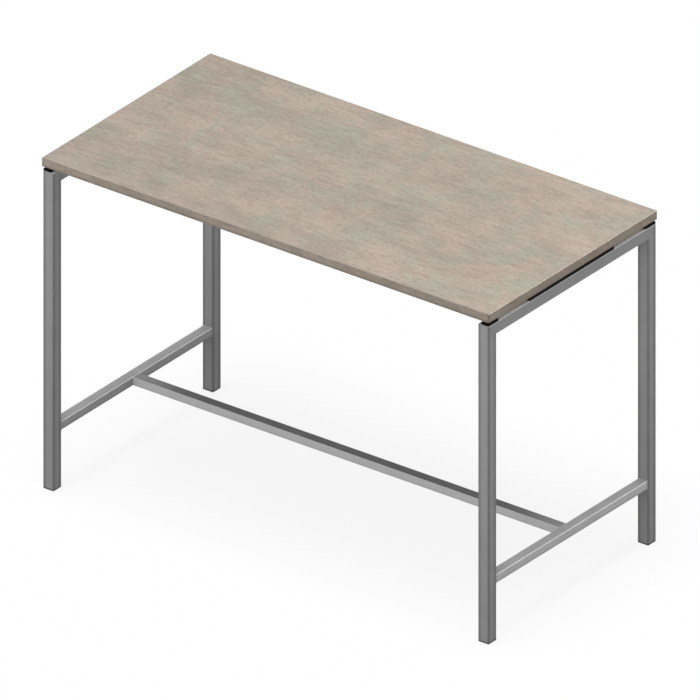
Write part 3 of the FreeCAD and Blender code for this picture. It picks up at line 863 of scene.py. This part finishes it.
def hexagon(across: float, low: float, high: float, top: bool = True) -> bmesh.types.BMesh:
    """Hexagon with its lower end turned to a chamfer.

    Args:
        across: Size across the flats.
        low: Height of the lower face.
        high: Height of the upper face.
        top: Chamfer the upper end too.

    Returns:
        A closed bmesh on the Z axis, two flats square to X.
    """
    shape = bmesh.new()
    reach = across / math.sqrt(3)
    lift = Matrix.Translation((0, 0, (low + high) / 2)) @ Matrix.Rotation(math.radians(30), 4, "Z")
    bmesh.ops.create_cone(shape, cap_ends=True, cap_tris=False, segments=6, radius1=reach, radius2=reach,
                          depth=high - low, matrix=lift)
    ends = (low, high) if top else (low,)
    rims = [edge for edge in shape.edges
            if any(all(abs(vert.co.z - end) < MERGE for vert in edge.verts) for end in ends)]
    bmesh.ops.bevel(shape, geom=rims, affect="EDGES", offset=CHAMFER, offset_type="OFFSET", segments=2,
                    profile=0.5, material=-1)
    return shape


def merge_into(target: bmesh.types.BMesh, part: bmesh.types.BMesh, at: Matrix = Matrix.Identity(4)) -> None:
    """Add one bmesh to another and free it.

    Args:
        target: Bmesh that receives the part.
        part: Bmesh to add.
        at: Where the part goes.
    """
    part.transform(at)
    mesh = mesh_from("part", part)
    target.from_mesh(mesh)
    bpy.data.meshes.remove(mesh)


@dataclass(frozen=True)
class Thread:
    """Screw thread: radius of its crest, rise of one turn, crest to root, and facets in one turn."""

    radius: float
    pitch: float
    depth: float
    steps: int = 14

    def rod(self, low: float, high: float) -> bmesh.types.BMesh:
        """Rod along Z with a helical ridge, cut square at both ends.

        Args:
            low: Height of the lower end.
            high: Height of the upper end.

        Returns:
            A closed bmesh on the Z axis.
        """
        start = low - LEAD_IN * self.pitch
        turns = math.ceil((high - start) / self.pitch) + 1
        ridge = [(self.radius - down * self.depth, start + part * self.pitch) for down, part in THREAD_FORM]
        shape = spun(ridge, self.steps, turns, self.pitch)
        for height, outward in ((low, (0, 0, -1)), (high, (0, 0, 1))):
            cut = bmesh.ops.bisect_plane(shape, geom=shape.verts[:] + shape.edges[:] + shape.faces[:],
                                         plane_co=(0, 0, height), plane_no=outward, clear_outer=True)
            rim = [item for item in cut["geom_cut"] if isinstance(item, bmesh.types.BMEdge)]
            bmesh.ops.contextual_create(shape, geom=rim)
        return shape


# ---------------- sub-assemblies
@dataclass
class Assembly:
    """Part of the table, with the finishes to choose from."""

    finishes: Finishes


@dataclass
class TableTop(Assembly):
    """Board and its four edge bands."""

    board: str = "tabletop_board"
    long_bands: tuple[str, ...] = ("edge_band_front", "edge_band_rear")
    end_bands: tuple[str, ...] = ("edge_band_left", "edge_band_right")

    def build(self) -> None:
        """Dress the board and the bands."""
        dress(Slot.BOARD, self.finishes.board.make(), self.board)
        dress(Slot.EDGE, self.finishes.edge.make(), *self.long_bands)
        dress(Slot.EDGE, self.finishes.end_band_painted_light.make(), *self.end_bands)


@dataclass
class WeldBead:
    """Fillet weld round a rectangular tube where it meets a flat face."""

    width: float
    height: float
    leg: float = 1.6 * MM
    sunk: float = 0.2 * MM
    rounded_share: float = 0.72
    facets: int = 3
    along: float = 0.9
    sharp: float = 1.0

    def shape(self) -> bmesh.types.BMesh:
        """Collar about the local Y axis, its flat side at the local zero, rounded towards +Y.

        Returns:
            A closed bmesh.
        """
        shape = bmesh.new()
        size = Matrix.Diagonal((self.width + 2 * self.leg, self.leg, self.height + 2 * self.leg, 1.0))
        bmesh.ops.create_cube(shape, size=1.0, matrix=Matrix.Translation((0, self.leg / 2, 0)) @ size)
        ends = [face for face in shape.faces if abs(face.normal.y) > self.along]
        bmesh.ops.inset_individual(shape, faces=ends, thickness=self.leg + self.sunk)
        inner = [face for face in shape.faces if abs(face.normal.y) > self.along
                 and max(abs(vert.co.x) for vert in face.verts) < self.width / 2]
        loops = [edge for face in inner for edge in face.edges]
        bmesh.ops.delete(shape, geom=inner, context="FACES_ONLY")
        bmesh.ops.bridge_loops(shape, edges=loops)
        rim = [edge for edge in shape.edges if edge.calc_face_angle(0.0) > self.sharp
               and all(vert.co.y > self.leg / 2 for vert in edge.verts)
               and all(abs(vert.co.x) > self.width / 2 for vert in edge.verts)]
        bmesh.ops.bevel(shape, geom=rim, affect="EDGES", offset=self.leg * self.rounded_share,
                        offset_type="OFFSET", segments=self.facets, profile=0.5, material=-1)
        return shape


@dataclass
class EndFrame(Assembly):
    """One end of the frame: two legs, mitred top rail, lower rail and its weld beads."""

    side: Side
    rail_width: float = 32 * MM
    rail_height: float = 28 * MM

    def build(self) -> None:
        """Dress the tubes and add the beads."""
        for corner in Corner:
            if corner.x_way == self.side.way:
                dress(Slot.FRAME, self.finishes.leg_paint.make(), f"leg_{corner.label}")
                self.bead(corner)
        dress(Slot.FRAME, self.finishes.top_paint.make(), f"top_rail_{self.side.label}")
        dress(Slot.FRAME, self.finishes.rail_paint.make(), f"lower_rail_{self.side.label}")

    def bead(self, corner: Corner) -> None:
        """Weld bead where the lower rail meets a leg.

        Args:
            corner: Which leg.
        """
        low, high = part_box(f"lower_rail_{self.side.label}")
        centre = (low + high) / 2
        face, turn = (low.y, 0.0) if corner.y_way < 0 else (high.y, math.pi)
        shape = WeldBead(self.rail_width, self.rail_height).shape()
        shape.transform(Matrix.Translation((centre.x, face, centre.z)) @ Matrix.Rotation(turn, 4, "Z"))
        bench_piece(f"weld_bead_{corner.label}", shape, "frame", Slot.FRAME, self.finishes.weld_paint.make())


@dataclass
class LongMembers(Assembly):
    """Stretcher, beams and the steel sockets that carry them."""

    beams: tuple[str, ...] = ("beam_front", "beam_rear")

    def build(self) -> None:
        """Dress the long tubes and their sockets."""
        dress(Slot.FRAME, self.finishes.bar_paint.make(), "stretcher")
        dress(Slot.BEAM, self.finishes.beam_paint.make(), *self.beams)
        steel = self.finishes.steel.make()
        dress(Slot.STEEL, steel, *(f"stretcher_socket_{side.label}" for side in Side))
        dress(Slot.STEEL, steel, *(f"beam_socket_{corner.label}" for corner in Corner))


@dataclass
class Spacers(Assembly):
    """Black rubber between the frame and the board."""

    def build(self) -> None:
        """Dress the corner spacers, the strips and the pads."""
        rubber = self.finishes.spacer.make()
        dress(Slot.SPACER, rubber, *(f"corner_spacer_{corner.label}" for corner in Corner))
        dress(Slot.SPACER, rubber, *(f"spacer_strip_{side.label}" for side in Side), "beam_pads")


@dataclass(frozen=True)
class Screw:
    """Hexagon-head screw along +Z, underside of the head at its local zero."""

    length: float
    thread: Thread
    head_wide: float = 10 * MM
    head_tall: float = 4 * MM
    washer_radius: float = 4.85 * MM
    washer_tall: float = 0.35 * MM

    def shape(self) -> bmesh.types.BMesh:
        """Head with turned chamfer, washer face and threaded shank.

        Returns:
            A bmesh of separate closed shells.
        """
        radius, low = self.washer_radius, -self.washer_tall
        shape = hexagon(self.head_wide, -self.head_tall, low, top=False)
        merge_into(shape, spun([(0.0, low), (radius, low), (radius, 0.0), (0.0, 0.0)], ROUND_STEPS))
        merge_into(shape, self.thread.rod(0.0, self.length))
        return shape


@dataclass
class Fixings(Assembly):
    """Board screws and lock screws."""

    board_screw: Screw = Screw(28 * MM, Thread(3 * MM, 2.4 * MM, 0.9 * MM))
    lock_screw: Screw = Screw(10 * MM, Thread(3 * MM, 1.0 * MM, 0.45 * MM))
    rail_y: float = 0.150
    beam_x: float = 0.500
    beam_y: float = 0.200
    leg_x: float = 0.779
    stretcher_x: float = 0.745
    beam_lock_x: float = 0.742
    rail_seat: float = 1.0270
    beam_seat: float = 1.0275
    stretcher_low: float = 0.182
    beam_low: float = 0.999

    def board_spots(self) -> list[Vector]:
        """Seats of the board screws.

        Returns:
            Four places on the end rails, then four on the beams.
        """
        on_rails = [Vector((side.way * self.leg_x, way * self.rail_y, self.rail_seat))
                    for side in Side for way in (-1, 1)]
        on_beams = [Vector((way * self.beam_x, end * self.beam_y, self.beam_seat))
                    for end in (-1, 1) for way in (-1, 1)]
        return on_rails + on_beams

    def lock_spots(self) -> list[Vector]:
        """Seats of the lock screws.

        Returns:
            Two places on the stretcher, then four on the beams.
        """
        stretcher = [Vector((side.way * self.stretcher_x, 0.0, self.stretcher_low)) for side in Side]
        beams = [Vector((side.way * self.beam_lock_x, end * self.beam_y, self.beam_low))
                 for side in Side for end in (-1, 1)]
        return stretcher + beams

    def build(self) -> None:
        """Build the screws."""
        black = self.finishes.screw.make()
        for name, screw, spots in (("top_screws", self.board_screw, self.board_spots()),
                                   ("lock_screws", self.lock_screw, self.lock_spots())):
            together = bmesh.new()
            for spot in spots:
                merge_into(together, screw.shape(), Matrix.Translation(spot))
            bench_piece(f"{name}_threaded", together, "frame", Slot.SCREW, black, name)


@dataclass
class LevellingFoot(Assembly):
    """One foot: plug and nut in the leg, turning stem, and glide with a gripped rim.

    The profiles list radius and height in millimetres, from the axis back to the axis.
    """

    corner: Corner
    glide_profile: tuple[Span, ...] = (
        (0.0, 0.4), (10.6, 0.4), (11.2, 0.0), (13.0, 0.0), (13.7, 0.3), (14.0, 1.0), (14.0, 3.4),
        (13.8, 3.85), (13.4, 4.0), (9.3, 4.0), (8.6, 4.25), (8.3, 4.8), (7.1, 8.6), (6.7, 9.0),
        (2.9, 9.0), (2.9, 5.6), (4.6, 5.6), (4.6, 3.0), (0.0, 3.0))
    wall_from: float = 13.7 * MM
    upright: float = 0.1
    grips: int = 30
    grip_deep: float = 0.35 * MM
    grip_margin: float = 0.18 * MM
    pin_profile: tuple[Span, ...] = (
        (0.0, 3.0), (4.2, 3.0), (4.5, 3.3), (4.5, 5.3), (4.3, 5.5), (2.8, 5.5), (2.8, 10.0), (0.0, 10.0))
    hexagon_wide: float = 13 * MM
    hexagon_low: float = 10 * MM
    hexagon_high: float = 14.7 * MM
    stem_top: float = 50 * MM
    thread: Thread = Thread(3.95 * MM, 1.25 * MM, 0.62 * MM, 16)

    def build(self) -> None:
        """Build the glide and the stem, and dress the plug and the nut."""
        label = self.corner.label
        black, zinc = self.finishes.glide.make(), self.finishes.zinc.make()
        dress(Slot.PLUG, self.finishes.plug.make(), f"foot_plug_{label}")
        dress(Slot.ZINC, zinc, f"foot_nut_{label}")
        where = middle(f"glide_{label}")
        at = Matrix.Translation((where.x, where.y, 0.0))
        glide, stem = self.glide(), self.stem()
        for shape in (glide, stem):
            shape.transform(at)
        bench_piece(f"glide_gripped_{label}", glide, f"foot_{label}", Slot.GLIDE, black, f"glide_{label}")
        bench_piece(f"stem_threaded_{label}", stem, f"spindle_{label}", Slot.ZINC, zinc, f"stem_{label}")

    def glide(self) -> bmesh.types.BMesh:
        """Disc with rounded edges, hollow seat for the stem's head and grip grooves.

        Returns:
            A closed bmesh on the Z axis.
        """
        shape = turned(self.glide_profile, self.grips * 2)
        wall = [face for face in shape.faces if abs(face.normal.z) < self.upright
                and face.calc_center_median().to_2d().length > self.wall_from]
        wall.sort(key=lambda face: math.atan2(face.calc_center_median().y, face.calc_center_median().x))
        grooves = wall[::2]
        bmesh.ops.inset_individual(shape, faces=grooves, thickness=self.grip_margin)
        for face in grooves:
            bmesh.ops.translate(shape, verts=list(face.verts), vec=face.normal * -self.grip_deep)
        return shape

    def stem(self) -> bmesh.types.BMesh:
        """Pin head, neck, chamfered hexagon and M8 thread.

        Returns:
            A bmesh of closed shells on the Z axis.
        """
        stem = turned(self.pin_profile, ROUND_STEPS)
        merge_into(stem, hexagon(self.hexagon_wide, self.hexagon_low, self.hexagon_high))
        merge_into(stem, self.thread.rod(self.hexagon_high, self.stem_top))
        return stem


# ---------------- studio
@dataclass(frozen=True)
class SoftLamp:
    """Far lamp with a wide disc, so its shadows are soft."""

    name: str
    way: Triple
    strength: float
    disc: float

    def build(self) -> None:
        """Hang the lamp."""
        data = bpy.data.lights.new(self.name, "SUN")
        data.energy = self.strength * math.pi
        data.angle = math.radians(self.disc)
        lamp = linked(self.name, data)
        lamp.rotation_mode = "QUATERNION"
        lamp.rotation_quaternion = Vector(self.way).to_track_quat("Z", "Y")


class Backdrop:
    """Nodes of the sky or the floor, which light the table in one way and are seen in another."""

    def __init__(self, owner: bpy.types.World | bpy.types.Material) -> None:
        """Start with an empty node tree.

        Args:
            owner: World or material.
        """
        owner.use_nodes = True
        self.nodes, self.links = owner.node_tree.nodes, owner.node_tree.links
        self.nodes.clear()

    def shader(self, kind: str, **values: object) -> bpy.types.Node:
        """Add a shader.

        Args:
            kind: Node type.
            values: Values of its inputs, by name.

        Returns:
            The new node.
        """
        node = self.nodes.new(kind)
        for name, value in values.items():
            node.inputs[name].default_value = value
        return node

    def mix(self, first: bpy.types.Node, second: bpy.types.Node) -> bpy.types.Node:
        """Mix two shaders.

        Args:
            first: Shader that shows where the factor is 0.
            second: Shader that shows where the factor is 1.

        Returns:
            The mix, its factor still to be set.
        """
        mix = self.nodes.new("ShaderNodeMixShader")
        for socket, shader in zip(mix.inputs[1:], (first, second)):
            self.links.new(shader.outputs[0], socket)
        return mix

    def finish(self, light: bpy.types.Node, seen: bpy.types.Node, output: str) -> None:
        """Lead both shaders to the output.

        Args:
            light: Shader for the light that falls on the table.
            seen: Shader for rays from the camera, off gloss or through glass.
            output: Type of the output node.
        """
        path = self.nodes.new("ShaderNodeLightPath")
        direct = path.outputs["Is Camera Ray"]
        for name in ("Is Glossy Ray", "Is Transmission Ray"):
            either = self.nodes.new("ShaderNodeMath")
            either.operation = "MAXIMUM"
            self.links.new(direct, either.inputs[0])
            self.links.new(path.outputs[name], either.inputs[1])
            direct = either.outputs[0]
        mix = self.mix(light, seen)
        self.links.new(direct, mix.inputs[0])
        self.links.new(mix.outputs[0], self.nodes.new(output).inputs["Surface"])


@dataclass
class Studio:
    """Camera, soft light and pale floor."""

    azimuth: float = 37.006
    elevation: float = 27.85
    target: Triple = (0.001, 0.001, 0.533)
    view_width: float = 2.002
    distance: float = 6.0
    farthest: float = 100.0
    floor_size: float = 60.0
    floor_drop: float = 0.5 * MM
    sky: float = 0.34
    floor_bounce: float = 0.36
    floor_glow: float = 0.86
    lamps: tuple[SoftLamp, ...] = (
        SoftLamp("overhead", (0.0, -0.14, 0.99), 0.58, 28.0),
        SoftLamp("front", (0.10, -0.93, 0.33), 0.17, 40.0),
        SoftLamp("rim", (0.467, 0.706, 0.531), 0.07, 16.0),
    )

    def build(self) -> None:
        """Set up the camera, the world, the lamps, the floor and the view."""
        self.camera()
        self.world()
        for lamp in self.lamps:
            lamp.build()
        self.floor()
        bpy.context.scene.view_settings.view_transform = "Standard"

    def camera(self) -> None:
        """Camera without perspective, at the table's viewing angle."""
        across, up = math.radians(self.azimuth), math.radians(self.elevation)
        back = Vector((math.sin(across) * math.cos(up), -math.cos(across) * math.cos(up), math.sin(up)))
        data = bpy.data.cameras.new("camera")
        data.type = "ORTHO"
        data.ortho_scale = self.view_width
        data.clip_end = self.farthest
        camera = linked("camera", data)
        camera.location = Vector(self.target) + back * self.distance
        camera.rotation_mode = "QUATERNION"
        camera.rotation_quaternion = (-back).to_track_quat("-Z", "Y")
        bpy.context.scene.camera = camera

    def world(self) -> None:
        """Even grey sky for the light, plain white where it is seen."""
        world = bpy.data.worlds.new("studio")
        bpy.context.scene.world = world
        sky = Backdrop(world)
        light = sky.shader("ShaderNodeBackground", Color=WHITE, Strength=self.sky)
        white = sky.shader("ShaderNodeBackground", Color=WHITE)
        sky.finish(light, white, "ShaderNodeOutputWorld")

    def floor(self) -> None:
        """Pale floor that keeps the table's soft shadow."""
        shape = bmesh.new()
        bmesh.ops.create_grid(shape, x_segments=1, y_segments=1, size=self.floor_size / 2)
        mesh = mesh_from("floor", shape)
        mesh.materials.append(self.floor_finish())
        ground = linked("floor", mesh)
        ground.location = (0.0, 0.0, -self.floor_drop)

    def floor_finish(self) -> bpy.types.Material:
        """White where it is seen, with part of its shadow; grey for the light that it sends back.

        Returns:
            The finished material.
        """
        material = bpy.data.materials.new("pale_floor")
        floor = Backdrop(material)
        painted = floor.shader("ShaderNodeBsdfDiffuse", Color=WHITE)
        shown = floor.mix(painted, floor.shader("ShaderNodeEmission", Color=WHITE))
        shown.inputs[0].default_value = self.floor_glow
        bounce = floor.shader("ShaderNodeBsdfDiffuse", Color=(*(self.floor_bounce,) * 3, 1.0))
        floor.finish(bounce, shown, "ShaderNodeOutputMaterial")
        return material


def main() -> None:
    """Build every sub-assembly in order, then the studio."""
    logging.basicConfig(level=logging.INFO, format="%(name)s: %(message)s")
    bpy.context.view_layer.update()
    finishes = Finishes()
    TableTop(finishes).build()
    for side in Side:
        EndFrame(finishes, side).build()
    LongMembers(finishes).build()
    Spacers(finishes).build()
    Fixings(finishes).build()
    for corner in Corner:
        LevellingFoot(finishes, corner).build()
    Studio().build()
    LOG.info("table complete")


if __name__ == "__main__":
    main()
